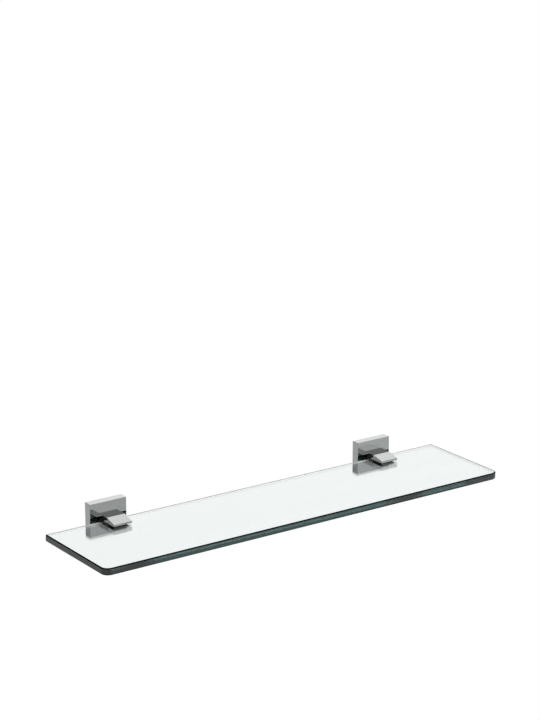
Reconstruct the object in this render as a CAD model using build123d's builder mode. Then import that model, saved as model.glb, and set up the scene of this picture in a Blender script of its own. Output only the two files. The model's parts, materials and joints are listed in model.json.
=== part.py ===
"""Clear glass wall shelf held by two square chrome clamp brackets.

Frame: the origin lies on the wall, midway between the brackets, at the glass's middle height.
+X runs to the right along the wall, +Y points into the wall, +Z is up. "out" is a distance from
the wall towards the room, along -Y. Millimetres.
"""

import os
from math import pi

from build123d import *

# Glass shelf
glass_length = 520.0
glass_depth = 122.0
glass_thickness = 8.0
glass_front_radius = 9.0
glass_rear_radius = 1.4
glass_arris = 1.1

# Brackets along the wall, and the gap from a cover plate's face to the glass's rear edge
bracket_spacing = 358.0
glass_setback = 6.0

# Cover plate: square, hollow behind, with a boss inside for its set screw
plate_side = 45.5
plate_depth = 10.0
plate_wall = 2.0
plate_front_wall = 3.0
plate_edge_radius = 0.4
boss_width = 10.0

# Clamp arm: its top falls slightly as far as the bevel, which ends in a thin front lip
arm_width = 22.5
arm_height = 21.5
arm_top = 11.0
arm_top_length = 15.5
arm_top_fall = 0.54
arm_length = 30.3
arm_lip_above_glass = 2.7
arm_edge_radius = 0.3

# Linings between the arm and the glass
upper_lining_thickness = 0.5
lower_lining_thickness = 1.6
rear_bumper_thickness = 1.0
lining_side_inset = 3.25
lining_front_inset = 1.0
lining_corner_radius = 1.0

# Wall plate inside the cover plate
wall_plate_thickness = 5.0
wall_plate_edge_chamfer = 0.5
wall_hole_spacing = 18.0
wall_hole_radius = 2.25
wall_hole_sink_radius = 4.2

# Arm screws, M4 countersunk, from inside the cover plate
arm_screw_spacing = 11.5
arm_screw_radius = 2.0
arm_screw_head_radius = 3.9
arm_screw_recess_width = 1.2
arm_screw_recess_length = 4.2
arm_screw_recess_depth = 1.4

# Set screw, M4, from below against the wall plate
set_screw_radius = 2.0
set_screw_length = 8.0
set_screw_recess = 0.3
set_screw_key = 2.0

# Clamp screw, M5, in the lower jaw, and the pressure disc on its tip
clamp_screw_radius = 2.5
clamp_screw_pitch = 0.8
clamp_screw_setback = 12.0
clamp_screw_recess = 0.5
clamp_screw_key = 2.5
clamp_screw_turns = 1.5
pressure_disc_radius = 3.5
pressure_disc_thickness = 2.0

# Hexagon socket of both headless screws, as a share of the screw's length, and the bevel at their ends
socket_share_of_length = 0.4
screw_end_bevel = 0.4

# Clearances
thread_clearance = 0.05
shank_clearance = 0.1
head_clearance = 0.1
wall_plate_side_clearance = 0.3
pressure_disc_clearance = 0.3
lining_hole_clearance = 0.5
pressure_disc_floor_clearance = 0.2
boss_clearance = 1.3

# Places worked out from the sizes above
plate_hollow = plate_side - 2 * plate_wall
plate_hollow_depth = plate_depth - plate_front_wall
glass_rear_out = plate_depth + glass_setback
glass_top = glass_thickness / 2
glass_bottom = -glass_thickness / 2

arm_bottom = arm_top - arm_height
arm_bevel_out = plate_depth + arm_top_length
arm_bevel_top = arm_top - arm_top_fall
arm_front_out = plate_depth + arm_length
slot_out = glass_rear_out - rear_bumper_thickness
slot_top = glass_top + upper_lining_thickness
slot_bottom = glass_bottom - lower_lining_thickness
lip_top = glass_top + arm_lip_above_glass
arm_back_wall = slot_out - plate_depth

lining_width = arm_width - 2 * lining_side_inset
lining_front_out = arm_front_out - lining_front_inset
lining_length = lining_front_out - glass_rear_out
lining_middle_out = (lining_front_out + glass_rear_out) / 2

wall_plate_width = plate_hollow - 2 * wall_plate_side_clearance
wall_plate_top = plate_hollow / 2
wall_plate_bottom = -plate_side / 2 + set_screw_recess + set_screw_length
wall_plate_height = wall_plate_top - wall_plate_bottom
wall_plate_middle = (wall_plate_top + wall_plate_bottom) / 2

boss_bottom = -plate_hollow / 2
boss_top = wall_plate_bottom - boss_clearance
boss_height = boss_top - boss_bottom
boss_middle = (boss_top + boss_bottom) / 2
set_screw_out = plate_hollow_depth / 2

clamp_screw_out = glass_rear_out + clamp_screw_setback
clamp_travel = clamp_screw_turns * clamp_screw_pitch
pressure_disc_bottom = glass_bottom - pressure_disc_thickness
pressure_disc_floor = pressure_disc_bottom - clamp_travel - pressure_disc_floor_clearance
clamp_screw_end = arm_bottom + clamp_screw_recess
clamp_screw_length = pressure_disc_bottom - clamp_screw_end


def facing_plane(x, out, up=0.0):
    """Plane parallel to the wall that faces the room: first axis right, second axis up."""
    return Plane(origin=(x, -out, up), x_dir=(1, 0, 0), z_dir=(0, -1, 0))


def backing_plane(x, out):
    """Plane parallel to the wall that faces the wall."""
    return Plane(origin=(x, -out, 0), x_dir=(-1, 0, 0), z_dir=(0, 1, 0))


def level_plane(x, out, up):
    """Level plane that faces up."""
    return Plane(origin=(x, -out, up), x_dir=(1, 0, 0), z_dir=(0, 0, 1))


def side_plane(x):
    """Upright plane square to the wall: first axis out from the wall, second axis up."""
    return Plane(origin=(x, 0, 0), x_dir=(0, -1, 0), z_dir=(-1, 0, 0))


def make_glass_shelf():
    """Glass panel with round front corners and a polished arris along both faces."""
    with BuildPart() as glass_shelf:
        with BuildSketch(level_plane(0, glass_rear_out + glass_depth / 2, glass_bottom)) as outline:
            Rectangle(glass_length, glass_depth)
            corners = outline.vertices().group_by(Axis.Y)
            fillet(corners[0], glass_front_radius)
            fillet(corners[-1], glass_rear_radius)
        extrude(amount=glass_thickness)
        rims = glass_shelf.faces().filter_by(Axis.Z).edges()
        chamfer(rims, glass_arris)
    return glass_shelf.part


def make_cover_plate(x):
    """Square hollow cover: rounded outer edges, a boss for the set screw, two countersunk holes."""
    with BuildPart() as cover_plate:
        with BuildSketch(facing_plane(x, 0)):
            Rectangle(plate_side, plate_side)
        extrude(amount=plate_depth)
        corner_edges = cover_plate.edges().filter_by(Axis.Y)
        front_edges = cover_plate.faces().sort_by(Axis.Y)[0].edges()
        fillet(corner_edges + front_edges, plate_edge_radius)
        with BuildSketch(facing_plane(x, 0)):
            Rectangle(plate_hollow, plate_hollow)
        extrude(amount=plate_hollow_depth, mode=Mode.SUBTRACT)
        with BuildSketch(facing_plane(x, 0, boss_middle)):
            Rectangle(boss_width, boss_height)
        extrude(amount=plate_hollow_depth)
        with BuildSketch(level_plane(x, set_screw_out, -plate_side / 2)):
            Circle(set_screw_radius)
        extrude(amount=plate_wall + boss_height, mode=Mode.SUBTRACT)
        with Locations(backing_plane(x, plate_hollow_depth)):
            with GridLocations(arm_screw_spacing, 0, 2, 1):
                CounterSinkHole(
                    radius=arm_screw_radius + shank_clearance,
                    counter_sink_radius=arm_screw_head_radius + head_clearance,
                    depth=plate_front_wall,
                    counter_sink_angle=90,
                )
    return cover_plate.part


def is_outer_arm_edge(edge):
    """True for the edges that polishing softens: all but the slot's and those on the cover plate."""
    middle = edge.center()
    out, up = -middle.Y, middle.Z
    on_seat = out < plate_depth + arm_edge_radius
    in_slot = slot_bottom - arm_edge_radius < up < slot_top + arm_edge_radius
    return not on_seat and not in_slot


def make_clamp_arm(x):
    """Square bar slotted for the glass, its upper jaw bevelled down to the front lip."""
    with BuildPart() as clamp_arm:
        with BuildSketch(side_plane(x)):
            with BuildLine():
                Polyline(
                    (plate_depth, arm_bottom),
                    (arm_front_out, arm_bottom),
                    (arm_front_out, slot_bottom),
                    (slot_out, slot_bottom),
                    (slot_out, slot_top),
                    (arm_front_out, slot_top),
                    (arm_front_out, lip_top),
                    (arm_bevel_out, arm_bevel_top),
                    (plate_depth, arm_top),
                    close=True,
                )
            make_face()
        extrude(amount=arm_width / 2, both=True)
        fillet(clamp_arm.edges().filter_by(is_outer_arm_edge), arm_edge_radius)
        with BuildSketch(level_plane(x, clamp_screw_out, arm_bottom)):
            Circle(clamp_screw_radius)
        extrude(amount=slot_bottom - arm_bottom, mode=Mode.SUBTRACT)
        with BuildSketch(level_plane(x, clamp_screw_out, pressure_disc_floor)):
            Circle(pressure_disc_radius + pressure_disc_clearance)
        extrude(amount=slot_bottom - pressure_disc_floor, mode=Mode.SUBTRACT)
        with BuildSketch(facing_plane(x, plate_depth)):
            with GridLocations(arm_screw_spacing, 0, 2, 1):
                Circle(arm_screw_radius)
        extrude(amount=arm_back_wall, mode=Mode.SUBTRACT)
    return clamp_arm.part


def make_arm_screws(x):
    """Two countersunk screws with crossed driver slots, heads flush inside the cover plate."""
    shank_radius = arm_screw_radius - thread_clearance
    with BuildPart() as arm_screws:
        with BuildSketch(facing_plane(x, plate_hollow_depth)):
            with GridLocations(arm_screw_spacing, 0, 2, 1):
                Circle(shank_radius)
        extrude(amount=plate_front_wall + arm_back_wall)
        with BuildSketch(facing_plane(x, plate_hollow_depth)):
            with GridLocations(arm_screw_spacing, 0, 2, 1):
                Circle(arm_screw_head_radius)
        extrude(amount=arm_screw_head_radius - shank_radius, taper=45)
        with BuildSketch(facing_plane(x, plate_hollow_depth)):
            with GridLocations(arm_screw_spacing, 0, 2, 1):
                Rectangle(arm_screw_recess_length, arm_screw_recess_width)
                Rectangle(arm_screw_recess_width, arm_screw_recess_length)
        extrude(amount=arm_screw_recess_depth, mode=Mode.SUBTRACT)
    return arm_screws.part


def make_wall_plate(x):
    """Plate screwed to the wall: the cover plate hangs on its top edge."""
    with BuildPart() as wall_plate:
        with BuildSketch(facing_plane(x, 0, wall_plate_middle)):
            Rectangle(wall_plate_width, wall_plate_height)
        extrude(amount=wall_plate_thickness)
        front_edges = wall_plate.faces().sort_by(Axis.Y)[0].edges()
        chamfer(front_edges, wall_plate_edge_chamfer)
        with Locations(facing_plane(x, wall_plate_thickness)):
            with GridLocations(0, wall_hole_spacing, 1, 2):
                CounterSinkHole(
                    radius=wall_hole_radius,
                    counter_sink_radius=wall_hole_sink_radius,
                    depth=wall_plate_thickness,
                    counter_sink_angle=90,
                )
    return wall_plate.part


def make_socket_screw(plane, radius, length, key):
    """Headless screw with a hexagon socket at the plane, pointing along the plane's normal."""
    with BuildPart() as socket_screw:
        with BuildSketch(plane):
            Circle(radius - thread_clearance)
        extrude(amount=length)
        rims = socket_screw.edges().filter_by(GeomType.CIRCLE)
        chamfer(rims, screw_end_bevel)
        with BuildSketch(plane):
            RegularPolygon(radius=key / 2, side_count=6, major_radius=False)
        extrude(amount=length * socket_share_of_length, mode=Mode.SUBTRACT)
    return socket_screw.part


def make_set_screw(x):
    """Screw that locks the cover plate on the wall plate."""
    plane = level_plane(x, set_screw_out, -plate_side / 2 + set_screw_recess)
    return make_socket_screw(plane, set_screw_radius, set_screw_length, set_screw_key)


def make_clamp_screw(x):
    """Screw in the lower jaw that pushes the pressure disc up."""
    plane = level_plane(x, clamp_screw_out, clamp_screw_end)
    return make_socket_screw(plane, clamp_screw_radius, clamp_screw_length, clamp_screw_key)


def make_pressure_disc(x):
    """Plastic disc between the clamp screw's tip and the glass."""
    with BuildPart() as pressure_disc:
        with BuildSketch(level_plane(x, clamp_screw_out, pressure_disc_bottom)):
            Circle(pressure_disc_radius)
        extrude(amount=pressure_disc_thickness)
    return pressure_disc.part


def make_upper_lining(x):
    """Thin lining between the upper jaw and the glass."""
    with BuildPart() as upper_lining:
        with BuildSketch(level_plane(x, lining_middle_out, glass_top)):
            RectangleRounded(lining_width, lining_length, lining_corner_radius)
        extrude(amount=upper_lining_thickness)
    return upper_lining.part


def make_lower_lining(x):
    """Lining on the lower jaw, with a hole that the pressure disc passes through."""
    with BuildPart() as lower_lining:
        with BuildSketch(level_plane(x, lining_middle_out, slot_bottom)):
            RectangleRounded(lining_width, lining_length, lining_corner_radius)
        extrude(amount=lower_lining_thickness)
        with BuildSketch(level_plane(x, clamp_screw_out, slot_bottom)):
            Circle(pressure_disc_radius + lining_hole_clearance)
        extrude(amount=lower_lining_thickness, mode=Mode.SUBTRACT)
    return lower_lining.part


def make_rear_bumper(x):
    """Lining between the slot's back wall and the glass's rear edge."""
    with BuildPart() as rear_bumper:
        with BuildSketch(facing_plane(x, slot_out, (slot_top + slot_bottom) / 2)):
            Rectangle(lining_width, slot_top - slot_bottom)
        extrude(amount=rear_bumper_thickness)
    return rear_bumper.part


bracket_pieces = {
    "cover_plate": make_cover_plate,
    "clamp_arm": make_clamp_arm,
    "arm_screws": make_arm_screws,
    "wall_plate": make_wall_plate,
    "set_screw": make_set_screw,
    "clamp_screw": make_clamp_screw,
    "pressure_disc": make_pressure_disc,
    "upper_lining": make_upper_lining,
    "lower_lining": make_lower_lining,
    "rear_bumper": make_rear_bumper,
}
bracket_places = {"left": -bracket_spacing / 2, "right": bracket_spacing / 2}

pieces = {"glass_shelf": make_glass_shelf()}
for side, place in bracket_places.items():
    for piece_name, make_piece in bracket_pieces.items():
        pieces[f"{side}_{piece_name}"] = make_piece(place)

os.makedirs("parts", exist_ok=True)
for node, piece in pieces.items():
    piece.label = node
    export_step(piece, f"parts/{node}.step")

turn_per_drop = 2 * pi / clamp_screw_pitch
print(f"clamp travel {clamp_travel:.2f} mm, clamp screw turns {turn_per_drop:.5f} radians per mm")
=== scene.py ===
"""Looks of a clear glass wall shelf held by two chrome clamp brackets.

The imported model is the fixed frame, in metres: +X runs right along the wall, +Y into the wall, +Z up.
Chrome and zinc pieces keep their own solids and get their finish here. The glass, the linings, the
screws and the pressure discs are modelled here and stand for their plain solids.
"""

import json
import math

import bmesh
import bpy
from bpy.props import FloatProperty, FloatVectorProperty, IntProperty, PointerProperty
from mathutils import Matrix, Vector

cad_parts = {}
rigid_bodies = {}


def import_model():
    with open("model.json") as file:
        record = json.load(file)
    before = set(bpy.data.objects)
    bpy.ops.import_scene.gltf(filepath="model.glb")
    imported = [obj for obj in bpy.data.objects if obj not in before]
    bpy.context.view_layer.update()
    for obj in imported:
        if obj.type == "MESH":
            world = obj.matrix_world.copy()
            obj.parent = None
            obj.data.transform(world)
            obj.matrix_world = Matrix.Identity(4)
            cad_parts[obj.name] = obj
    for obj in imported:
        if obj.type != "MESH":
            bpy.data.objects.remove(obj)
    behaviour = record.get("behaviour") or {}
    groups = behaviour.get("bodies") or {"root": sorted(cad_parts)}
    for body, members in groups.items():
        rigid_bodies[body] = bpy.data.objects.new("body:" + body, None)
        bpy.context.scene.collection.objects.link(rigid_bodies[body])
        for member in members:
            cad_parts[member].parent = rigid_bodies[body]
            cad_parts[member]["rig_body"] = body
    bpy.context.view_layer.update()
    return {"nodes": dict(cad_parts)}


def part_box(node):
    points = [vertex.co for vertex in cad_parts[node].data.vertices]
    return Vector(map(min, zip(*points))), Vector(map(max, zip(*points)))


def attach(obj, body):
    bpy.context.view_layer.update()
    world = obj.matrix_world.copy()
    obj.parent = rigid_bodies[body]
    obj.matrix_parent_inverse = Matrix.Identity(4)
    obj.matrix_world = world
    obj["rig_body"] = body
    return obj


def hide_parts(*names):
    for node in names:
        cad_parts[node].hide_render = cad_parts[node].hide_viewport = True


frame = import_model()

bl_info = {
    "name": "Glass wall shelf",
    "version": (1, 0, 0),
    "blender": (4, 5, 0),
    "location": "3D View > Sidebar > Shelf",
    "description": "Models and finishes a glass wall shelf on chrome clamp brackets",
    "category": "Object",
}

SIDES = ("left", "right")
MM = 0.001
FULL_TURN = 2 * math.pi
QUARTER_TURN = math.pi / 2
WHITE = (1.0, 1.0, 1.0, 1.0)
BLACK = (0.0, 0.0, 0.0, 1.0)

# Limits of the mesh work: points closer than this are one, edges sharper than this stay sharp, and a face
# is level when its normal's upright part is more than this
MERGE_DISTANCE = 1e-6
CREASE_ANGLE = math.radians(30)
LEVEL_NORMAL = 0.999

# Socket numbers of a Mix node that mixes colours
MIX_SHARE, MIX_FIRST, MIX_SECOND, MIX_RESULT = 0, 6, 7, 2


# Node trees


class Value:
    """A number socket of a tree. Python's operators on it add Math nodes."""

    def __init__(self, tree, socket):
        self.tree = tree
        self.socket = socket

    def __add__(self, other):
        return self.tree.math("ADD", self, other)

    def __sub__(self, other):
        return self.tree.math("SUBTRACT", self, other)

    def __rsub__(self, other):
        return self.tree.math("SUBTRACT", other, self)

    def __mul__(self, other):
        return self.tree.math("MULTIPLY", self, other)

    def __truediv__(self, other):
        return self.tree.math("DIVIDE", self, other)

    def __rtruediv__(self, other):
        return self.tree.math("DIVIDE", other, self)

    def __mod__(self, other):
        return self.tree.math("FLOORED_MODULO", self, other)

    def __gt__(self, other):
        return self.tree.math("GREATER_THAN", self, other)

    def __lt__(self, other):
        return self.tree.math("LESS_THAN", self, other)

    def __abs__(self):
        return self.tree.math("ABSOLUTE", self)

    __radd__ = __add__
    __rmul__ = __mul__

    def at_least(self, other):
        return self.tree.math("MAXIMUM", self, other)

    def at_most(self, other):
        return self.tree.math("MINIMUM", self, other)

    def cosine(self):
        return self.tree.math("COSINE", self)

    def sine(self):
        return self.tree.math("SINE", self)

    def up_to_whole(self):
        return self.tree.math("CEIL", self)

    def to_whole(self):
        return self.tree.math("ROUND", self)


class Tree:
    """A node tree that is being built."""

    def __init__(self, node_tree):
        self.node_tree = node_tree

    def node(self, kind, settings=None, sockets=None):
        """Adds a node of that kind, makes its settings, then fills its sockets with values or links."""
        made = self.node_tree.nodes.new(kind)
        for name, setting in (settings or {}).items():
            setattr(made, name, setting)
        for name, content in (sockets or {}).items():
            self.fill(made.inputs[name], content)
        return made

    def fill(self, socket, content):
        """Links a socket to a Value, a socket or several sockets, or sets it to a plain value."""
        for part in content if isinstance(content, list) else [content]:
            if isinstance(part, Value):
                part = part.socket
            if isinstance(part, bpy.types.NodeSocket):
                self.node_tree.links.new(part, socket)
            else:
                socket.default_value = part

    def value(self, kind, output=0, settings=None, sockets=None):
        """A new node's output as a Value."""
        return Value(self, self.node(kind, settings, sockets).outputs[output])

    def math(self, operation, *operands):
        """The result of a Math node on these numbers or Values."""
        sockets = dict(enumerate(operands))
        return self.value("ShaderNodeMath", settings={"operation": operation}, sockets=sockets)

    def parts_of(self, vector):
        """The three numbers of a vector socket as Values."""
        outputs = self.node("ShaderNodeSeparateXYZ", sockets={0: vector}).outputs
        return [Value(self, socket) for socket in outputs]

    def vector(self, x, y, z):
        """A vector socket made of three numbers or Values."""
        return self.node("ShaderNodeCombineXYZ", sockets={0: x, 1: y, 2: z}).outputs[0]

    def smooth_share(self, value, low, high):
        """Goes smoothly from 0 to 1 while a Value goes from low to high."""
        settings = {"interpolation_type": "SMOOTHSTEP"}
        sockets = {"Value": value, "From Min": low, "From Max": high}
        return self.value("ShaderNodeMapRange", settings=settings, sockets=sockets)

    def mixed_colour(self, share, first, second):
        """A colour socket that goes from the first colour to the second."""
        sockets = {MIX_SHARE: share, MIX_FIRST: first, MIX_SECOND: second}
        return self.node("ShaderNodeMix", {"data_type": "RGBA"}, sockets).outputs[MIX_RESULT]


class Finish(Tree):
    """A material made of nodes. Its patterns lie in Object coordinates."""

    def __init__(self, name):
        self.material = bpy.data.materials.new(name)
        self.material.use_nodes = True
        super().__init__(self.material.node_tree)
        self.node_tree.nodes.clear()
        self.place = self.node("ShaderNodeTexCoord").outputs["Object"]

    def stretched(self, scale):
        """The place on the piece with each axis stretched, for streaks and grain."""
        return self.node("ShaderNodeMapping", sockets={"Vector": self.place, "Scale": scale}).outputs[0]

    def noise(self, scale, detail=2.0, place=None):
        """Soft random pattern from 0 to 1, with that many features to the metre."""
        sockets = {"Vector": place or self.place, "Scale": scale, "Detail": detail}
        return self.value("ShaderNodeTexNoise", sockets=sockets)

    def bumped(self, height, depth, strength=1.0):
        """A Normal socket for bumps of that depth in metres."""
        sockets = {"Height": height, "Distance": depth, "Strength": strength}
        return self.node("ShaderNodeBump", sockets=sockets).outputs[0]

    def toned(self, share, darker, lighter):
        """A colour socket that goes from a darker tone to a lighter one."""
        return self.mixed_colour(share, (*darker, 1.0), (*lighter, 1.0))

    def varied(self, share, low, high):
        """A Value that goes from low to high."""
        return low + (high - low) * share

    def surface(self, sockets):
        """Ends the material in a Principled shader."""
        shader = self.node("ShaderNodeBsdfPrincipled", sockets=sockets)
        self.node("ShaderNodeOutputMaterial", sockets={"Surface": shader.outputs[0]})
        return self.material


class Shape(Tree):
    """A Geometry Nodes tree with named inputs."""

    def __init__(self, name, inputs):
        group = bpy.data.node_groups.new(name, "GeometryNodeTree")
        super().__init__(group)
        self.identifiers = {}
        for label, kind in inputs.items():
            socket = group.interface.new_socket(label, in_out="INPUT", socket_type=kind)
            self.identifiers[label] = socket.identifier
        group.interface.new_socket("Geometry", in_out="OUTPUT", socket_type="NodeSocketGeometry")
        self.given = self.node("NodeGroupInput").outputs

    def size(self, label):
        """A number input as a Value."""
        return Value(self, self.given[label])

    def place(self):
        """The three numbers of a point's place as Values."""
        return self.parts_of(self.node("GeometryNodeInputPosition").outputs[0])

    def moved(self, geometry, place, selection=True):
        """The geometry with the selected points at a new place."""
        sockets = {"Geometry": geometry, "Selection": selection, "Position": place}
        return self.node("GeometryNodeSetPosition", sockets=sockets).outputs[0]

    def merged(self, geometry):
        """The geometry with points that share a place made one."""
        sockets = {"Geometry": geometry, "Distance": MERGE_DISTANCE}
        return self.node("GeometryNodeMergeByDistance", sockets=sockets).outputs[0]

    def joined(self, *parts):
        """Several geometries as one."""
        return self.node("GeometryNodeJoinGeometry", sockets={0: list(parts)}).outputs[0]

    def painted(self, geometry, finish, selection=True):
        """The geometry with a finish on the selected faces."""
        sockets = {"Geometry": geometry, "Selection": selection, "Material": self.given[finish]}
        return self.node("GeometryNodeSetMaterial", sockets=sockets).outputs[0]

    def realized(self, geometry):
        """The geometry with its copies made real."""
        return self.node("GeometryNodeRealizeInstances", sockets={0: geometry}).outputs[0]

    def end(self, geometry):
        """Gives the tree its result."""
        self.node("NodeGroupOutput", sockets={0: geometry})
        return self

    def grow(self, name, settings):
        """Runs the tree with these inputs and returns its result as a plain mesh object."""
        piece = bpy.data.objects.new(name, bpy.data.meshes.new(name))
        bpy.context.scene.collection.objects.link(piece)
        modifier = piece.modifiers.new("Shape", "NODES")
        modifier.node_group = self.node_tree
        for label, setting in settings.items():
            modifier[self.identifiers[label]] = setting
        evaluated = piece.evaluated_get(bpy.context.evaluated_depsgraph_get())
        mesh = bpy.data.meshes.new_from_object(evaluated)
        piece.modifiers.remove(modifier)
        piece.data = mesh
        mesh.name = name
        return piece


def clean_mesh(piece):
    """Merges doubles, turns all faces outwards and shades smoothly up to sharp edges."""
    solid = bmesh.new()
    solid.from_mesh(piece.data)
    bmesh.ops.remove_doubles(solid, verts=solid.verts, dist=MERGE_DISTANCE)
    bmesh.ops.recalc_face_normals(solid, faces=solid.faces)
    solid.to_mesh(piece.data)
    solid.free()
    piece.data.shade_smooth()
    piece.data.set_sharp_from_angle(angle=CREASE_ANGLE)


def bevel_rims(piece, width, segments, finish=None):
    """Bevels the edges around a panel's level faces. The bevel may have a finish of its own."""
    slot = -1
    if finish:
        slot = len(piece.data.materials)
        piece.data.materials.append(finish)
    solid = bmesh.new()
    solid.from_mesh(piece.data)
    rims = [edge for edge in solid.edges if is_rim(edge)]
    bmesh.ops.bevel(
        solid, geom=rims, offset=width, offset_type="OFFSET", segments=segments, profile=0.5,
        affect="EDGES", material=slot, clamp_overlap=False,
    )
    solid.to_mesh(piece.data)
    solid.free()


def is_rim(edge):
    """True for an edge between a level face and an upright one."""
    levels = [abs(face.normal.z) > LEVEL_NORMAL for face in edge.link_faces]
    return len(levels) == 2 and levels[0] != levels[1]


def stand_for(piece, node):
    """Puts a piece in its node's place: same body, the node hidden."""
    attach(piece, frame["nodes"][node]["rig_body"])
    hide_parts(node)


def paint_node(node, material):
    """Gives a CAD node a finish."""
    materials = frame["nodes"][node].data.materials
    materials.clear()
    materials.append(material)


def box_of(node):
    """A node's middle and its size along each axis."""
    low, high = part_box(node)
    return (low + high) / 2, high - low


# Finishes


def polished_chrome(finish, settings):
    """Sockets of a clean chrome mirror with faint waviness and wiping marks."""
    wipe = finish.noise(scale=60.0, detail=4.0, place=finish.stretched((1.0, 6.0, 6.0)))
    waves = finish.noise(scale=45.0)
    return {
        "Base Color": finish.toned(wipe, settings.colour_low, settings.colour_high),
        "Metallic": 1.0,
        "Roughness": settings.roughness + settings.wipe_blur * wipe,
        "Normal": finish.bumped(waves, depth=4e-6),
    }


def clamp_arm_finish(settings):
    """Polished chrome plate all over."""
    finish = Finish("polished_chrome")
    return finish.surface(polished_chrome(finish, settings))


def cover_plate_finish(settings):
    """Polished chrome plate outside, dull bare casting in the hollow behind."""
    finish = Finish("cover_plate_chrome")
    middle, size = box_of("right_cover_plate")
    hollow_reach = size.x / 2 - settings.cover_wall + MERGE_DISTANCE
    hollow_front = middle.y - size.y / 2 + settings.cover_front - MERGE_DISTANCE
    x, y, z = finish.parts_of(finish.place)
    out = abs(abs(x) - middle.x).at_least(abs(z))
    is_hollow = (out < hollow_reach) * (y > hollow_front)
    grain = finish.noise(scale=700.0, detail=3.0)
    cast = finish.toned(grain, settings.cast_low, settings.cast_high)
    dullness = finish.varied(grain, low=0.4, high=0.6)
    sockets = polished_chrome(finish, settings)
    sockets["Base Color"] = finish.mixed_colour(is_hollow, sockets["Base Color"], cast)
    sockets["Roughness"] = sockets["Roughness"] + is_hollow * dullness
    return finish.surface(sockets)


def clear_glass_finish(settings):
    """Float glass face: clear, with faint waves along its length."""
    finish = Finish("clear_glass_face")
    waves = finish.noise(scale=9.0, detail=1.0, place=finish.stretched((0.4, 3.0, 1.0)))
    return finish.surface({
        "Base Color": finish.toned(waves, settings.face_tint_low, settings.face_tint_high),
        "Roughness": finish.varied(waves, low=0.0, high=0.004),
        "IOR": settings.ior,
        "Transmission Weight": 1.0,
        "Normal": finish.bumped(waves, depth=2e-6),
    })


def glass_edge_finish(settings):
    """Polished edge: deep green, a little cloudy, with fine lines from the wheel along the edge."""
    finish = Finish("polished_glass_edge")
    lines = finish.noise(scale=1400.0, detail=3.0, place=finish.stretched((0.02, 0.02, 1.0)))
    cast = finish.noise(scale=25.0)
    return finish.surface({
        "Base Color": finish.toned(cast, settings.edge_tint_low, settings.edge_tint_high),
        "Roughness": finish.varied(lines, low=0.03, high=0.11),
        "IOR": settings.ior,
        "Transmission Weight": settings.edge_clearness,
        "Normal": finish.bumped(lines, depth=6e-6),
    })


def painted_shade_arris_finish(settings):
    """Ground arris with painted shade: nearly black from outside, standing for the dark lines along the
    glass's rims, clear from inside the glass, with a satin grain.
    """
    finish = Finish("ground_glass_arris")
    grain = finish.noise(scale=2600.0)
    # Painted shade: from outside the arris is near black metal with no glint, standing for the dark lines
    # along the glass's rims
    outside = finish.toned(grain, settings.arris_painted_shade_low, settings.arris_painted_shade_high)
    is_inside = finish.value("ShaderNodeNewGeometry", "Backfacing")
    return finish.surface({
        "Base Color": finish.mixed_colour(is_inside, outside, WHITE),
        "Metallic": 1.0 - is_inside,
        "Specular Tint": BLACK,
        "Roughness": finish.varied(grain, low=0.2, high=0.35),
        "IOR": settings.ior,
        "Transmission Weight": 1.0,
        "Normal": finish.bumped(grain, depth=4e-6),
    })


def zinc_finish(settings):
    """Zinc plated steel: dull bluish metal with soft spangles."""
    finish = Finish("zinc_plated_steel")
    spangle = finish.value("ShaderNodeTexVoronoi", sockets={"Vector": finish.place, "Scale": 420.0})
    cloud = finish.noise(scale=130.0, detail=3.0)
    spangle_blur = finish.varied(spangle, low=0.0, high=0.06)
    return finish.surface({
        "Base Color": finish.toned(cloud, settings.zinc_low, settings.zinc_high),
        "Metallic": 1.0,
        "Roughness": finish.varied(cloud, low=0.26, high=0.4) + spangle_blur,
        "Normal": finish.bumped(spangle, depth=8e-6),
    })


def screw_steel_finish(settings):
    """Plain stainless screws: turned steel with a fine, slightly blotchy grain."""
    finish = Finish("screw_steel")
    grain = finish.noise(scale=900.0, detail=3.0)
    return finish.surface({
        "Base Color": finish.toned(grain, settings.steel_low, settings.steel_high),
        "Metallic": 1.0,
        "Roughness": finish.varied(grain, low=0.18, high=0.36),
        "Normal": finish.bumped(grain, depth=5e-6),
    })


def rubber_finish(settings):
    """Black lining rubber: matte, with a fine moulded grain and a little dust."""
    finish = Finish("black_lining_rubber")
    grain = finish.noise(scale=2200.0, detail=3.0)
    dust = finish.noise(scale=240.0, detail=4.0)
    return finish.surface({
        "Base Color": finish.toned(dust, settings.rubber_low, settings.rubber_high),
        "Roughness": finish.varied(dust, low=0.6, high=0.85),
        "Normal": finish.bumped(grain, depth=2e-5, strength=0.6),
    })


def nylon_finish(settings):
    """Natural nylon: milky, waxy plastic with slight flow marks."""
    finish = Finish("natural_nylon")
    flow = finish.noise(scale=320.0, detail=3.0, place=finish.stretched((1.0, 1.0, 3.0)))
    return finish.surface({
        "Base Color": finish.toned(flow, settings.nylon_low, settings.nylon_high),
        "Roughness": finish.varied(flow, low=0.38, high=0.53),
        "Subsurface Weight": 0.15,
        "Subsurface Scale": 1.0 * MM,
        "Normal": finish.bumped(flow, depth=1e-5),
    })


# Shapes


HOLE_SEGMENTS = 48
LINING_CORNER_POINTS = 8
SCREWS_PER_ARM = 2


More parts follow.
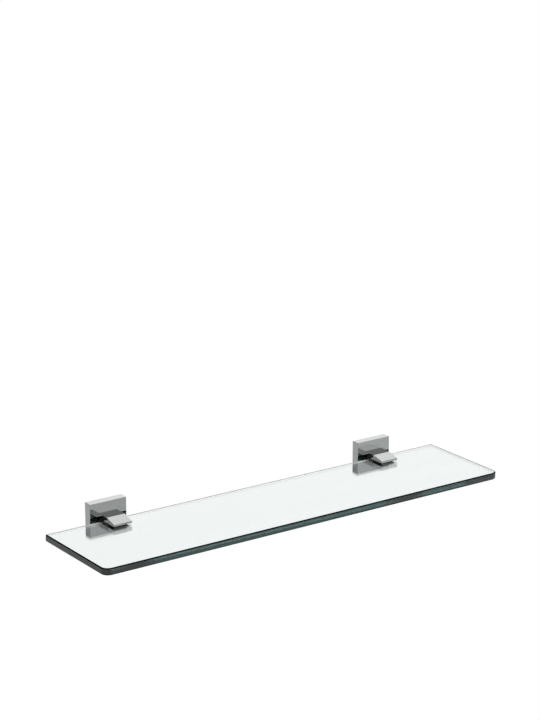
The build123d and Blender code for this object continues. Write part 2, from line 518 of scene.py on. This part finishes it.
def panel_shape():
    """Level panel with round corners and an optional round hole. Faces and sides each have a finish."""
    shape = Shape("panel", {
        "Middle": "NodeSocketVector",
        "Width": "NodeSocketFloat",
        "Depth": "NodeSocketFloat",
        "Thickness": "NodeSocketFloat",
        "Front Radius": "NodeSocketFloat",
        "Rear Radius": "NodeSocketFloat",
        "Corner Points": "NodeSocketInt",
        "Hole Radius": "NodeSocketFloat",
        "Hole Place": "NodeSocketVector",
        "Face Finish": "NodeSocketMaterial",
        "Side Finish": "NodeSocketMaterial",
    })
    given = shape.given
    rectangle = shape.node("GeometryNodeCurvePrimitiveQuadrilateral", sockets={
        "Width": given["Width"],
        "Height": given["Depth"],
    })
    front, rear = shape.size("Front Radius"), shape.size("Rear Radius")
    is_front = shape.place()[1] < 0.0
    outline = shape.node("GeometryNodeFilletCurve", {"mode": "POLY"}, {
        "Curve": rectangle.outputs[0],
        "Count": given["Corner Points"],
        "Radius": rear + (front - rear) * is_front,
    })
    circle = shape.node("GeometryNodeCurvePrimitiveCircle", sockets={
        "Resolution": HOLE_SEGMENTS,
        "Radius": given["Hole Radius"],
    })
    hole = shape.node("GeometryNodeTransform", sockets={
        "Geometry": circle.outputs[0],
        "Translation": given["Hole Place"],
    })
    optional_hole = shape.node("GeometryNodeSwitch", {"input_type": "GEOMETRY"}, {
        "Switch": shape.size("Hole Radius") > 0.0,
        "True": hole.outputs[0],
    })
    outlines = shape.joined(outline.outputs[0], optional_hole.outputs[0])
    sheet = shape.node("GeometryNodeFillCurve", {"mode": "NGONS"}, {"Curve": outlines}).outputs[0]
    upright = shape.vector(0.0, 0.0, shape.size("Thickness"))
    raised = shape.node("GeometryNodeExtrudeMesh", sockets={
        "Mesh": sheet,
        "Offset": upright,
        "Offset Scale": 1.0,
        "Individual": False,
    })
    underside = shape.node("GeometryNodeFlipFaces", sockets={0: sheet}).outputs[0]
    faces = shape.painted(raised.outputs["Mesh"], "Face Finish")
    upper = shape.painted(faces, "Side Finish", raised.outputs["Side"])
    lower = shape.painted(underside, "Face Finish")
    solid = shape.merged(shape.joined(upper, lower))
    x, y, z = shape.parts_of(given["Middle"])
    lowered = shape.vector(x, y, z - 0.5 * shape.size("Thickness"))
    seated = shape.node("GeometryNodeTransform", sockets={"Geometry": solid, "Translation": lowered})
    return shape.end(shape.realized(seated.outputs[0]))


SCREW_INPUTS = {
    "Count": "NodeSocketInt",
    "Start": "NodeSocketVector",
    "Step": "NodeSocketVector",
    "Turn": "NodeSocketVector",
    "Radius": "NodeSocketFloat",
    "Length": "NodeSocketFloat",
    "Pitch": "NodeSocketFloat",
    "Thread Depth": "NodeSocketFloat",
    "Recess Width": "NodeSocketFloat",
    "Recess Depth": "NodeSocketFloat",
    "Finish": "NodeSocketMaterial",
}
SCREW_SEGMENTS = 48
ROWS_PER_TURN = 6

# A thread's fullness starts with this at its crest, falls at this rate to its root, and is kept from 0 to 1
CREST_FULLNESS, FLANK_FALL = 1.25, 1.5

FACES_AT_CLOSED_EDGE = 2.0
LEAST_SLOT_SINE = 0.01
HEXAGON_SIDES = 6
CROSS_SLOTS = 4


def thread(shape, start):
    """Right-hand thread along +Z from start to the screw's length, open at both ends."""
    length, pitch = shape.size("Length"), shape.size("Pitch")
    radius, depth = shape.size("Radius"), shape.size("Thread Depth")
    rows = (((length - start) / pitch).up_to_whole() + 1.0) * ROWS_PER_TURN
    grid = shape.node("GeometryNodeMeshGrid", sockets={
        "Size X": 1.0,
        "Size Y": 1.0,
        "Vertices X": SCREW_SEGMENTS + 1,
        "Vertices Y": rows + 1.0,
    }).outputs[0]
    across, along, _ = shape.place()
    turn = across + 0.5
    row = ((along + 0.5) * rows).to_whole()
    height = (row / ROWS_PER_TURN + turn - 1.0) * pitch + start
    is_threaded = (height > start) * (height < length)
    from_crest = abs((row % ROWS_PER_TURN) / (0.5 * ROWS_PER_TURN) - 1.0)
    fullness = (CREST_FULLNESS - FLANK_FALL * from_crest).at_least(0.0).at_most(1.0)
    out = radius - depth * (1.0 - fullness * is_threaded)
    level = height.at_least(start).at_most(length)
    angle = turn * FULL_TURN
    place = shape.vector(out * angle.cosine(), out * angle.sine(), level)
    return shape.merged(shape.moved(grid, place))


def end_rim(shape, is_end):
    """The open edges of a thread at one of its ends."""
    is_open = shape.value("GeometryNodeInputMeshEdgeNeighbors") < FACES_AT_CLOSED_EDGE
    return is_open * is_end


def carry_rim(shape, mesh, rim, rings):
    """Carries an open rim on through rings, each a radius and a height. A radius of 0 closes it."""
    for radius, height in rings:
        grown = shape.node("GeometryNodeExtrudeMesh", {"mode": "EDGES"}, {
            "Mesh": mesh,
            "Selection": rim,
            "Offset Scale": 0.0,
        })
        rim = grown.outputs["Top"]
        angle = point_angle(shape)
        place = shape.vector(radius * angle.cosine(), radius * angle.sine(), height)
        mesh = shape.moved(grown.outputs["Mesh"], place, rim)
    return mesh


def point_angle(shape):
    """The angle of a point about the screw's axis."""
    x, y, _ = shape.place()
    return shape.math("ARCTAN2", y, x)


def folded_angle(shape, sides):
    """The angle from the nearest of evenly spaced directions about the axis."""
    step = FULL_TURN / sides
    return (point_angle(shape) + 0.5 * step) % step - 0.5 * step


def hexagon_radius(shape):
    """Distance from the axis to the wall of the hexagon socket, at a point's angle."""
    return 0.5 * shape.size("Recess Width") / folded_angle(shape, HEXAGON_SIDES).cosine()


def cross_radius(shape, reach):
    """Distance from the axis to the wall of the crossed driver slots, at a point's angle."""
    angle = abs(folded_angle(shape, CROSS_SLOTS))
    slot_wall = 0.5 * shape.size("Recess Width") / angle.sine().at_least(LEAST_SLOT_SINE)
    return (reach / angle.cosine()).at_most(slot_wall)


def placed_copies(shape, screw):
    """Copies of a screw in a row, each turned to its direction."""
    row = shape.node("GeometryNodeMeshLine", sockets={
        "Count": shape.given["Count"],
        "Start Location": shape.given["Start"],
        "Offset": shape.given["Step"],
    })
    turn = shape.node("FunctionNodeEulerToRotation", sockets={0: shape.given["Turn"]})
    copies = shape.node("GeometryNodeInstanceOnPoints", sockets={
        "Points": row.outputs[0],
        "Instance": screw,
        "Rotation": turn.outputs[0],
    })
    return shape.end(shape.painted(shape.realized(copies.outputs[0]), "Finish"))


def headless_screw_shape():
    """Headless screw along +Z: hexagon socket at its start, cupped tip at its end."""
    shape = Shape("headless_screw", SCREW_INPUTS)
    length, radius = shape.size("Length"), shape.size("Radius")
    depth = shape.size("Recess Depth")
    mouth_width, mouth_depth, drilled_depth = 1.08, 0.06, 1.15
    tip_rim, cup_rim, cup_depth = 0.62, 0.45, 0.2
    mesh = thread(shape, 0.0)
    start_rim = end_rim(shape, shape.place()[2] < 0.5 * length)
    tip = end_rim(shape, shape.place()[2] > 0.5 * length)
    mesh = carry_rim(shape, mesh, start_rim, [
        (mouth_width * hexagon_radius(shape), 0.0),
        (hexagon_radius(shape), mouth_depth * depth),
        (hexagon_radius(shape), depth),
        (0.0, drilled_depth * depth),
    ])
    mesh = carry_rim(shape, mesh, tip, [
        (tip_rim * radius, length),
        (cup_rim * radius, length),
        (0.0, length - cup_depth * radius),
    ])
    return placed_copies(shape, shape.merged(mesh))


def countersunk_screw_shape():
    """Countersunk screw along +Z: crossed driver slots in its flat head, which starts at the origin."""
    shape = Shape("countersunk_screw", {
        **SCREW_INPUTS,
        "Head Radius": "NodeSocketFloat",
        "Recess Reach": "NodeSocketFloat",
    })
    length, radius, head = shape.size("Length"), shape.size("Radius"), shape.size("Head Radius")
    depth, reach = shape.size("Recess Depth"), shape.size("Recess Reach")
    cone = head - radius
    rim_share, floor_share, tip_rim = 0.06, 0.6, 0.7
    mesh = thread(shape, cone + 0.5 * shape.size("Pitch"))
    middle = 0.5 * (length + cone)
    start_rim = end_rim(shape, shape.place()[2] < middle)
    tip = end_rim(shape, shape.place()[2] > middle)
    mesh = carry_rim(shape, mesh, start_rim, [
        (radius, cone),
        (head, rim_share * cone),
        (head - rim_share * cone, 0.0),
        (cross_radius(shape, reach), 0.0),
        (floor_share * cross_radius(shape, reach), depth),
        (0.0, depth),
    ])
    mesh = carry_rim(shape, mesh, tip, [(tip_rim * radius, length), (0.0, length)])
    return placed_copies(shape, shape.merged(mesh))


def turned_disc(name, middle, radius, thickness, rounding, segments=64, rim_steps=5):
    """Round disc with softened rims and a shallow dish underneath for the screw's tip."""
    half = thickness / 2
    dish_depth, dish_floor, dish_mouth = 0.08 * thickness, 0.5 * radius, 0.6 * radius
    profile = [(0.0, dish_depth - half), (dish_floor, dish_depth - half), (dish_mouth, -half)]
    for side, first_angle in ((-1, -QUARTER_TURN), (1, 0.0)):
        for step in range(rim_steps + 1):
            angle = first_angle + step / rim_steps * QUARTER_TURN
            out = radius - rounding + rounding * math.cos(angle)
            profile.append((out, side * (half - rounding) + rounding * math.sin(angle)))
    profile.append((0.0, half))
    points = []
    for out, up in profile:
        for step in range(segments):
            angle = FULL_TURN * step / segments
            points.append(middle + Vector((out * math.cos(angle), out * math.sin(angle), up)))
    faces = []
    for ring in range(len(profile) - 1):
        for step in range(segments):
            following = (step + 1) % segments
            low, high = ring * segments, (ring + 1) * segments
            faces.append((low + step, low + following, high + following, high + step))
    mesh = bpy.data.meshes.new(name)
    mesh.from_pydata(points, [], faces)
    piece = bpy.data.objects.new(name, mesh)
    bpy.context.scene.collection.objects.link(piece)
    clean_mesh(piece)
    return piece


# Settings


def length_setting(name, description, default):
    """A length that a user may change, in metres."""
    return FloatProperty(name=name, description=description, default=default, min=0.0, unit="LENGTH")


def colour_setting(name, description, default):
    """A colour that a user may change."""
    return FloatVectorProperty(
        name=name, description=description, default=default, min=0.0, max=1.0, size=3, subtype="COLOR"
    )


def share_setting(name, description, default):
    """A share from 0 to 1 that a user may change."""
    return FloatProperty(
        name=name, description=description, default=default, min=0.0, max=1.0, subtype="FACTOR"
    )


def angle_setting(name, description, degrees):
    """An angle that a user may change."""
    return FloatProperty(
        name=name, description=description, default=math.radians(degrees), subtype="ANGLE"
    )


def level_setting(name, description, default):
    """A brightness that a user may change. A level of 1 is white."""
    return FloatProperty(name=name, description=description, default=default, min=0.0)


class GlassSettings(bpy.types.PropertyGroup):
    """Corners, edges and colours of the glass shelf."""

    front_radius: length_setting("Front radius", "Radius of the two front corners", 9.0 * MM)
    rear_radius: length_setting("Rear radius", "Radius of the two rear corners", 1.4 * MM)
    arris: length_setting("Arris", "Width of the bevel along the glass's rims", 1.1 * MM)
    corner_points: IntProperty(
        name="Corner points", description="Points round each corner", default=20, min=2
    )
    ior: FloatProperty(
        name="Refraction", description="Refractive index of the glass", default=1.66, min=1.0
    )
    face_tint_low: colour_setting("Face tint, dark", "Darker cast of the faces", (0.76, 0.805, 0.8))
    face_tint_high: colour_setting("Face tint, light", "Lighter cast of the faces", (0.8, 0.835, 0.83))
    edge_tint_low: colour_setting("Edge tint, dark", "Darker cast of the edges", (0.014, 0.056, 0.055))
    edge_tint_high: colour_setting("Edge tint, light", "Lighter cast of the edges", (0.02, 0.08, 0.078))
    edge_clearness: share_setting("Edge clearness", "How clear the slightly cloudy edges are", 0.75)
    # Painted shade: the two arris tones below are the near black painted on the arris from outside
    arris_painted_shade_low: colour_setting("Arris tint, dark", "Darker cast of the arris", (0.002, 0.003, 0.003))
    arris_painted_shade_high: colour_setting("Arris tint, light", "Lighter cast of the arris", (0.008, 0.011, 0.011))


class ChromeSettings(bpy.types.PropertyGroup):
    """Finish of the cover plates and clamp arms."""

    colour_low: colour_setting("Chrome, dark", "Darker tone of the chrome", (0.5, 0.508, 0.508))
    colour_high: colour_setting("Chrome, light", "Lighter tone of the chrome", (0.525, 0.535, 0.535))
    roughness: share_setting("Roughness", "Least blur of the chrome's reflections", 0.02)
    wipe_blur: share_setting("Wipe blur", "Blur that the wiping marks add to it", 0.02)
    cover_wall: length_setting("Cover wall", "Thickness of a cover plate's side walls", 2.0 * MM)
    cover_front: length_setting("Cover front", "Thickness of a cover plate's front", 3.0 * MM)
    cast_low: colour_setting("Casting, dark", "Darker tone of the bare casting inside", (0.42, 0.43, 0.44))
    cast_high: colour_setting("Casting, light", "Lighter tone of the bare casting inside", (0.54, 0.55, 0.56))


class MetalSettings(bpy.types.PropertyGroup):
    """Threads, recesses and finishes of the screws and wall plates."""

    set_screw_pitch: length_setting("Set screw pitch", "Thread pitch of the set screws", 0.7 * MM)
    clamp_screw_pitch: length_setting("Clamp screw pitch", "Thread pitch of the clamp screws", 0.8 * MM)
    arm_screw_pitch: length_setting("Arm screw pitch", "Thread pitch of the arm screws", 0.7 * MM)
    set_screw_key: length_setting("Set screw key", "Key size of the set screws, across flats", 2.0 * MM)
    clamp_screw_key: length_setting("Clamp screw key", "Key size of the clamp screws, across flats", 2.5 * MM)
    arm_screw_radius: length_setting("Arm screw radius", "Outer radius of the arm screws' threads", 1.95 * MM)
    arm_screw_slot: length_setting("Arm screw slot", "Width of the crossed driver slots", 1.2 * MM)
    arm_screw_reach: length_setting("Arm screw reach", "From the axis to the end of a driver slot", 2.1 * MM)
    arm_screw_recess: length_setting("Arm screw recess", "Depth of the crossed driver slots", 1.4 * MM)
    socket_share: share_setting("Socket share", "Depth of a hexagon socket as a share of the screw", 0.4)
    thread_share: share_setting("Thread share", "Depth of a thread as a share of its pitch", 0.55)
    zinc_low: colour_setting("Zinc, dark", "Darker tone of the zinc plating", (0.47, 0.49, 0.52))
    zinc_high: colour_setting("Zinc, light", "Lighter tone of the zinc plating", (0.66, 0.68, 0.7))
    steel_low: colour_setting("Steel, dark", "Darker tone of the screw steel", (0.3, 0.3, 0.31))
    steel_high: colour_setting("Steel, light", "Lighter tone of the screw steel", (0.52, 0.52, 0.53))


class LiningSettings(bpy.types.PropertyGroup):
    """Shapes and finishes of the linings and pressure discs."""

    corner_radius: length_setting("Corner radius", "Radius of the linings' corners", 1.0 * MM)
    bumper_radius: length_setting("Bumper radius", "Radius of the rear bumpers' corners", 0.2 * MM)
    softening: length_setting("Softening", "Rounding of the linings' rims", 0.15 * MM)
    hole_radius: length_setting("Hole radius", "Hole in the lower lining for the pressure disc", 4.0 * MM)
    disc_rounding: length_setting("Disc rounding", "Rounding of the pressure disc's rims", 0.3 * MM)
    rubber_low: colour_setting("Rubber, dark", "Darker tone of the rubber", (0.008, 0.008, 0.009))
    rubber_high: colour_setting("Rubber, light", "Lighter tone of the rubber", (0.024, 0.024, 0.026))
    nylon_low: colour_setting("Nylon, dark", "Darker tone of the nylon", (0.72, 0.71, 0.66))
    nylon_high: colour_setting("Nylon, light", "Lighter tone of the nylon", (0.86, 0.85, 0.81))


class StageSettings(bpy.types.PropertyGroup):
    """Camera, floor and light."""

    lens: FloatProperty(
        name="Lens", description="Focal length for a 36 mm sensor", default=112.5, unit="CAMERA"
    )
    camera_place: FloatVectorProperty(
        name="Camera place", description="Where the camera stands", default=(-1.33559, -1.9665, 0.85118),
        size=3, subtype="TRANSLATION",
    )
    camera_turn: angle_setting("Camera turn", "Turn from +Y towards +X", 34.9648)
    camera_dip: angle_setting("Camera dip", "How far the camera looks down", 16.5028)
    floor_drop: length_setting("Floor drop", "From the glass down to the floor", 1.3)
    floor_reach: length_setting("Floor reach", "From the middle of the floor to its edge", 40.0)
    floor_colour: colour_setting("Floor colour", "Colour of the floor", (0.66, 0.66, 0.655))
    white_share: share_setting("White share", "How much of the floor is plain white to the camera", 0.9)
    backdrop_turn: angle_setting("Backdrop turn", "Turn from +Y towards +X of the backdrop's middle", 35.0)
    backdrop_level: level_setting("Backdrop level", "Brightness of the white backdrop", 1.2)
    wall_level: level_setting("Wall level", "Brightness of the studio's walls", 0.96)
    ceiling_level: level_setting("Ceiling level", "Brightness of the studio's ceiling", 0.41)
    left_dimming: share_setting("Left dimming", "How much darker the studio is at its rear left", 0.95)
    floor_left_dimming: share_setting("Floor left dimming", "How much less white it mirrors at left", 0.38)
    mirror_share: share_setting("Mirror share", "How much of the floor's mirror image is white", 0.6)
    lamp_power: FloatProperty(
        name="Lamp power", description="Power of the soft light overhead", default=12.0, min=0.0,
        unit="POWER",
    )
    lamp_height: length_setting("Lamp height", "From the glass up to the soft light", 1.6)
    lamp_width: length_setting("Lamp width", "Side of the square soft light", 1.8)


class ShelfSettings(bpy.types.PropertyGroup):
    """All settings of the wall shelf."""

    glass: PointerProperty(type=GlassSettings, name="Glass", description="Glass shelf")
    chrome: PointerProperty(type=ChromeSettings, name="Chrome", description="Cover plates and clamp arms")
    metal: PointerProperty(type=MetalSettings, name="Metal", description="Screws and wall plates")
    lining: PointerProperty(type=LiningSettings, name="Lining", description="Linings and pressure discs")
    stage: PointerProperty(type=StageSettings, name="Stage", description="Camera, floor and light")


# Operators


class SHELF_OT_glass(bpy.types.Operator):
    """Makes the glass shelf with its polished edges and ground arrises in painted shade"""

    bl_idname = "shelf.glass"
    bl_label = "Glass shelf"

    def execute(self, context):
        settings = context.scene.shelf.glass
        middle, size = box_of("glass_shelf")
        piece = panel_shape().grow("glass_shelf_panel", {
            "Middle": middle,
            "Width": size.x,
            "Depth": size.y,
            "Thickness": size.z,
            "Front Radius": settings.front_radius,
            "Rear Radius": settings.rear_radius,
            "Corner Points": settings.corner_points,
            "Face Finish": clear_glass_finish(settings),
            "Side Finish": glass_edge_finish(settings),
        })
        bevel_rims(piece, settings.arris, segments=1, finish=painted_shade_arris_finish(settings))
        clean_mesh(piece)
        stand_for(piece, "glass_shelf")
        return {"FINISHED"}


class SHELF_OT_brackets(bpy.types.Operator):
    """Gives the cover plates and clamp arms their polished chrome"""

    bl_idname = "shelf.brackets"
    bl_label = "Chrome brackets"

    def execute(self, context):
        settings = context.scene.shelf.chrome
        cover_chrome, arm_chrome = cover_plate_finish(settings), clamp_arm_finish(settings)
        for side in SIDES:
            paint_node(f"{side}_cover_plate", cover_chrome)
            paint_node(f"{side}_clamp_arm", arm_chrome)
        return {"FINISHED"}


class SHELF_OT_wall_plates(bpy.types.Operator):
    """Gives the wall plates their zinc plating"""

    bl_idname = "shelf.wall_plates"
    bl_label = "Wall plates"

    def execute(self, context):
        zinc = zinc_finish(context.scene.shelf.metal)
        for side in SIDES:
            paint_node(f"{side}_wall_plate", zinc)
        return {"FINISHED"}


class SHELF_OT_headless_screws(bpy.types.Operator):
    """Makes the set screws and clamp screws with their threads and hexagon sockets"""

    bl_idname = "shelf.headless_screws"
    bl_label = "Set screws and clamp screws"

    def execute(self, context):
        settings = context.scene.shelf.metal
        steel = screw_steel_finish(settings)
        shape = headless_screw_shape()
        kinds = {
            "set_screw": (settings.set_screw_pitch, settings.set_screw_key),
            "clamp_screw": (settings.clamp_screw_pitch, settings.clamp_screw_key),
        }
        for side in SIDES:
            for kind, (pitch, key) in kinds.items():
                node = f"{side}_{kind}"
                middle, size = box_of(node)
                piece = shape.grow(f"{node}_threaded", {
                    "Count": 1,
                    "Start": middle - Vector((0.0, 0.0, size.z / 2)),
                    "Radius": size.x / 2,
                    "Length": size.z,
                    "Pitch": pitch,
                    "Thread Depth": pitch * settings.thread_share,
                    "Recess Width": key,
                    "Recess Depth": size.z * settings.socket_share,
                    "Finish": steel,
                })
                clean_mesh(piece)
                stand_for(piece, node)
        return {"FINISHED"}


class SHELF_OT_arm_screws(bpy.types.Operator):
    """Makes the countersunk arm screws with their threads and crossed driver slots"""

    bl_idname = "shelf.arm_screws"
    bl_label = "Arm screws"

    def execute(self, context):
        settings = context.scene.shelf.metal
        zinc = zinc_finish(settings)
        shape = countersunk_screw_shape()
        for side in SIDES:
            node = f"{side}_arm_screws"
            middle, size = box_of(node)
            head_radius = size.z / 2
            spacing = size.x - size.z
            piece = shape.grow(f"{node}_threaded", {
                "Count": SCREWS_PER_ARM,
                "Start": middle + Vector((-spacing / 2, size.y / 2, 0.0)),
                "Step": (spacing, 0.0, 0.0),
                "Turn": (QUARTER_TURN, 0.0, 0.0),
                "Radius": settings.arm_screw_radius,
                "Length": size.y,
                "Pitch": settings.arm_screw_pitch,
                "Thread Depth": settings.arm_screw_pitch * settings.thread_share,
                "Recess Width": settings.arm_screw_slot,
                "Recess Depth": settings.arm_screw_recess,
                "Recess Reach": settings.arm_screw_reach,
                "Head Radius": head_radius,
                "Finish": zinc,
            })
            clean_mesh(piece)
            stand_for(piece, node)
        return {"FINISHED"}


class SHELF_OT_linings(bpy.types.Operator):
    """Makes the rubber linings between the jaws and the glass"""

    bl_idname = "shelf.linings"
    bl_label = "Rubber linings"

    def execute(self, context):
        settings = context.scene.shelf.lining
        rubber = rubber_finish(settings)
        shape = panel_shape()
        for side in SIDES:
            disc_middle, _ = box_of(f"{side}_pressure_disc")
            for kind in ("upper_lining", "lower_lining", "rear_bumper"):
                node = f"{side}_{kind}"
                middle, size = box_of(node)
                radius = settings.bumper_radius if kind == "rear_bumper" else settings.corner_radius
                piece = shape.grow(f"{node}_rubber", {
                    "Middle": middle,
                    "Width": size.x,
                    "Depth": size.y,
                    "Thickness": size.z,
                    "Front Radius": radius,
                    "Rear Radius": radius,
                    "Corner Points": LINING_CORNER_POINTS,
                    "Hole Radius": settings.hole_radius if kind == "lower_lining" else 0.0,
                    "Hole Place": (0.0, disc_middle.y - middle.y, 0.0),
                    "Face Finish": rubber,
                    "Side Finish": rubber,
                })
                bevel_rims(piece, settings.softening, segments=3)
                clean_mesh(piece)
                stand_for(piece, node)
        return {"FINISHED"}


class SHELF_OT_pressure_discs(bpy.types.Operator):
    """Makes the nylon discs between the clamp screws and the glass"""

    bl_idname = "shelf.pressure_discs"
    bl_label = "Pressure discs"

    def execute(self, context):
        settings = context.scene.shelf.lining
        nylon = nylon_finish(settings)
        for side in SIDES:
            node = f"{side}_pressure_disc"
            middle, size = box_of(node)
            piece = turned_disc(f"{node}_nylon", middle, size.x / 2, size.z, settings.disc_rounding)
            piece.data.materials.append(nylon)
            stand_for(piece, node)
        return {"FINISHED"}


class SHELF_OT_stage(bpy.types.Operator):
    """Sets up the camera, the pale floor and the soft studio light"""

    bl_idname = "shelf.stage"
    bl_label = "Stage"

    def execute(self, context):
        settings = context.scene.shelf.stage
        context.scene.view_settings.view_transform = "Standard"
        add_camera(context.scene, settings)
        add_floor(settings)
        add_world(context.scene, settings)
        add_lamp(settings)
        return {"FINISHED"}


# Stage


VIEW_REACH = 100.0
WHITE_STRENGTH = 1.08
FLOOR_CLOUDING = 1.02
FIRST_BOUNCE = 1.0

# The studio's tones blend between these parts of a direction: -x for the left, z for the ceiling, y for the
# rear, and for the backdrop how far it points at the backdrop's middle
LEFT_BLEND = (-0.4, 0.4)
CEILING_BLEND = (0.29, 0.36)
REAR_BLEND = (-0.3, 0.3)
BACKDROP_BLEND = (0.45, 0.75)


def add_camera(scene, settings):
    """A long lens that looks at the shelf from the left and a little above."""
    camera = bpy.data.cameras.new("camera")
    camera.lens = settings.lens
    camera.clip_end = VIEW_REACH
    view = bpy.data.objects.new("camera", camera)
    view.location = settings.camera_place
    view.rotation_euler = (QUARTER_TURN - settings.camera_dip, 0.0, -settings.camera_turn)
    scene.collection.objects.link(view)
    scene.camera = view


def seen_share(tree):
    """1 for what the camera sees straight or through clear glass, 0 for light and for mirror images."""
    path = tree.node("ShaderNodeLightPath").outputs
    straight = Value(tree, path["Is Camera Ray"])
    is_unmirrored = Value(tree, path["Glossy Depth"]) < FIRST_BOUNCE
    through = Value(tree, path["Is Transmission Ray"]) * is_unmirrored
    return straight.at_least(through)


def mirrored_share(tree):
    """1 for what shows in metal and glass, 0 for light."""
    path = tree.node("ShaderNodeLightPath").outputs
    return Value(tree, path["Is Glossy Ray"]).at_least(Value(tree, path["Is Transmission Ray"]))


def left_share(tree, direction):
    """1 for directions to the left of the shelf, 0 for those to the right."""
    return tree.smooth_share(-1.0 * tree.parts_of(direction)[0], *LEFT_BLEND)


def add_floor(settings):
    """A pale level floor far below the shelf, white to the camera apart from the shelf's soft shadow."""
    reach, level = settings.floor_reach, -settings.floor_drop
    ways = ((-1, -1), (1, -1), (1, 1), (-1, 1))
    corners = [(across * reach, along * reach, level) for across, along in ways]
    mesh = bpy.data.meshes.new("floor")
    mesh.from_pydata(corners, [], [(0, 1, 2, 3)])
    floor = bpy.data.objects.new("floor", mesh)
    bpy.context.scene.collection.objects.link(floor)
    mesh.materials.append(floor_finish(settings))


def floor_finish(settings):
    """Pale matte floor, mostly plain white where it is seen or mirrored, and clear from below."""
    finish = Finish("pale_floor")
    cloud = finish.noise(scale=1.5, detail=3.0)
    lighter = [FLOOR_CLOUDING * part for part in settings.floor_colour]
    tone = finish.toned(cloud, settings.floor_colour, lighter)
    matte = finish.node("ShaderNodeBsdfDiffuse", sockets={"Color": tone})
    white = finish.node("ShaderNodeEmission", sockets={"Color": WHITE, "Strength": WHITE_STRENGTH})
    towards = finish.node("ShaderNodeVectorMath", {"operation": "NORMALIZE"}, {0: finish.place})
    dimming = settings.floor_left_dimming * left_share(finish, towards.outputs[0])
    mirrored = mirrored_share(finish) * (settings.mirror_share * (1.0 - dimming))
    share = (seen_share(finish) * settings.white_share).at_least(mirrored)
    upper = finish.node("ShaderNodeMixShader", sockets={
        0: share,
        1: matte.outputs[0],
        2: white.outputs[0],
    })
    both = finish.node("ShaderNodeMixShader", sockets={
        0: finish.node("ShaderNodeNewGeometry").outputs["Backfacing"],
        1: upper.outputs[0],
        2: finish.node("ShaderNodeBsdfTransparent").outputs[0],
    })
    finish.node("ShaderNodeOutputMaterial", sockets={"Surface": both.outputs[0]})
    return finish.material


def add_world(scene, settings):
    """Soft studio surround: white backdrop, grey walls under a darker ceiling, dark at the rear left."""
    world = bpy.data.worlds.new("studio")
    world.use_nodes = True
    scene.world = world
    tree = Tree(world.node_tree)
    tree.node_tree.nodes.clear()
    direction = tree.node("ShaderNodeTexCoord").outputs["Generated"]
    x, y, z = tree.parts_of(direction)
    darkening = settings.ceiling_level - settings.wall_level
    walls = settings.wall_level + darkening * tree.smooth_share(z, *CEILING_BLEND)
    rear_left = left_share(tree, direction) * tree.smooth_share(y, *REAR_BLEND)
    room = walls * (1.0 - settings.left_dimming * rear_left)
    turn = settings.backdrop_turn
    backdrop = tree.smooth_share(math.sin(turn) * x + math.cos(turn) * y, *BACKDROP_BLEND)
    studio = room + (settings.backdrop_level - room) * backdrop
    level = studio + (1.0 - studio) * seen_share(tree)
    light = tree.node("ShaderNodeBackground", sockets={"Color": level, "Strength": 1.0})
    tree.node("ShaderNodeOutputWorld", sockets={"Surface": light.outputs[0]})


def add_lamp(settings):
    """A large square soft light overhead."""
    lamp = bpy.data.lights.new("soft_light", "AREA")
    lamp.shape = "SQUARE"
    lamp.size = settings.lamp_width
    lamp.energy = settings.lamp_power
    light = bpy.data.objects.new("soft_light", lamp)
    light.location = (0.0, 0.0, settings.lamp_height)
    light.visible_camera = False
    bpy.context.scene.collection.objects.link(light)


# Add-on


class SHELF_PT_panel(bpy.types.Panel):
    """Lists the shelf's pieces and settings in the sidebar"""

    bl_idname = "SHELF_PT_panel"
    bl_label = "Glass wall shelf"
    bl_space_type = "VIEW_3D"
    bl_region_type = "UI"
    bl_category = "Shelf"

    def draw(self, context):
        for operator in OPERATORS:
            self.layout.operator(operator.bl_idname)
        for group in SETTING_GROUPS:
            box = self.layout.box()
            settings = getattr(context.scene.shelf, group)
            for name in settings.bl_rna.properties.keys():
                if name not in ("rna_type", "name"):
                    box.prop(settings, name)


SETTING_GROUPS = ("glass", "chrome", "metal", "lining", "stage")
OPERATORS = (
    SHELF_OT_glass,
    SHELF_OT_brackets,
    SHELF_OT_wall_plates,
    SHELF_OT_headless_screws,
    SHELF_OT_arm_screws,
    SHELF_OT_linings,
    SHELF_OT_pressure_discs,
    SHELF_OT_stage,
)
CLASSES = (
    GlassSettings,
    ChromeSettings,
    MetalSettings,
    LiningSettings,
    StageSettings,
    ShelfSettings,
    *OPERATORS,
    SHELF_PT_panel,
)


def register():
    """Registers the classes and the scene's settings."""
    for made in CLASSES:
        bpy.utils.register_class(made)
    bpy.types.Scene.shelf = PointerProperty(type=ShelfSettings)


def unregister():
    """Takes the classes and settings away again."""
    del bpy.types.Scene.shelf
    for made in reversed(CLASSES):
        bpy.utils.unregister_class(made)


def main():
    """Builds every piece and the stage."""
    register()
    bpy.ops.shelf.glass()
    bpy.ops.shelf.brackets()
    bpy.ops.shelf.wall_plates()
    bpy.ops.shelf.headless_screws()
    bpy.ops.shelf.arm_screws()
    bpy.ops.shelf.linings()
    bpy.ops.shelf.pressure_discs()
    bpy.ops.shelf.stage()


if __name__ == "__main__":
    main()
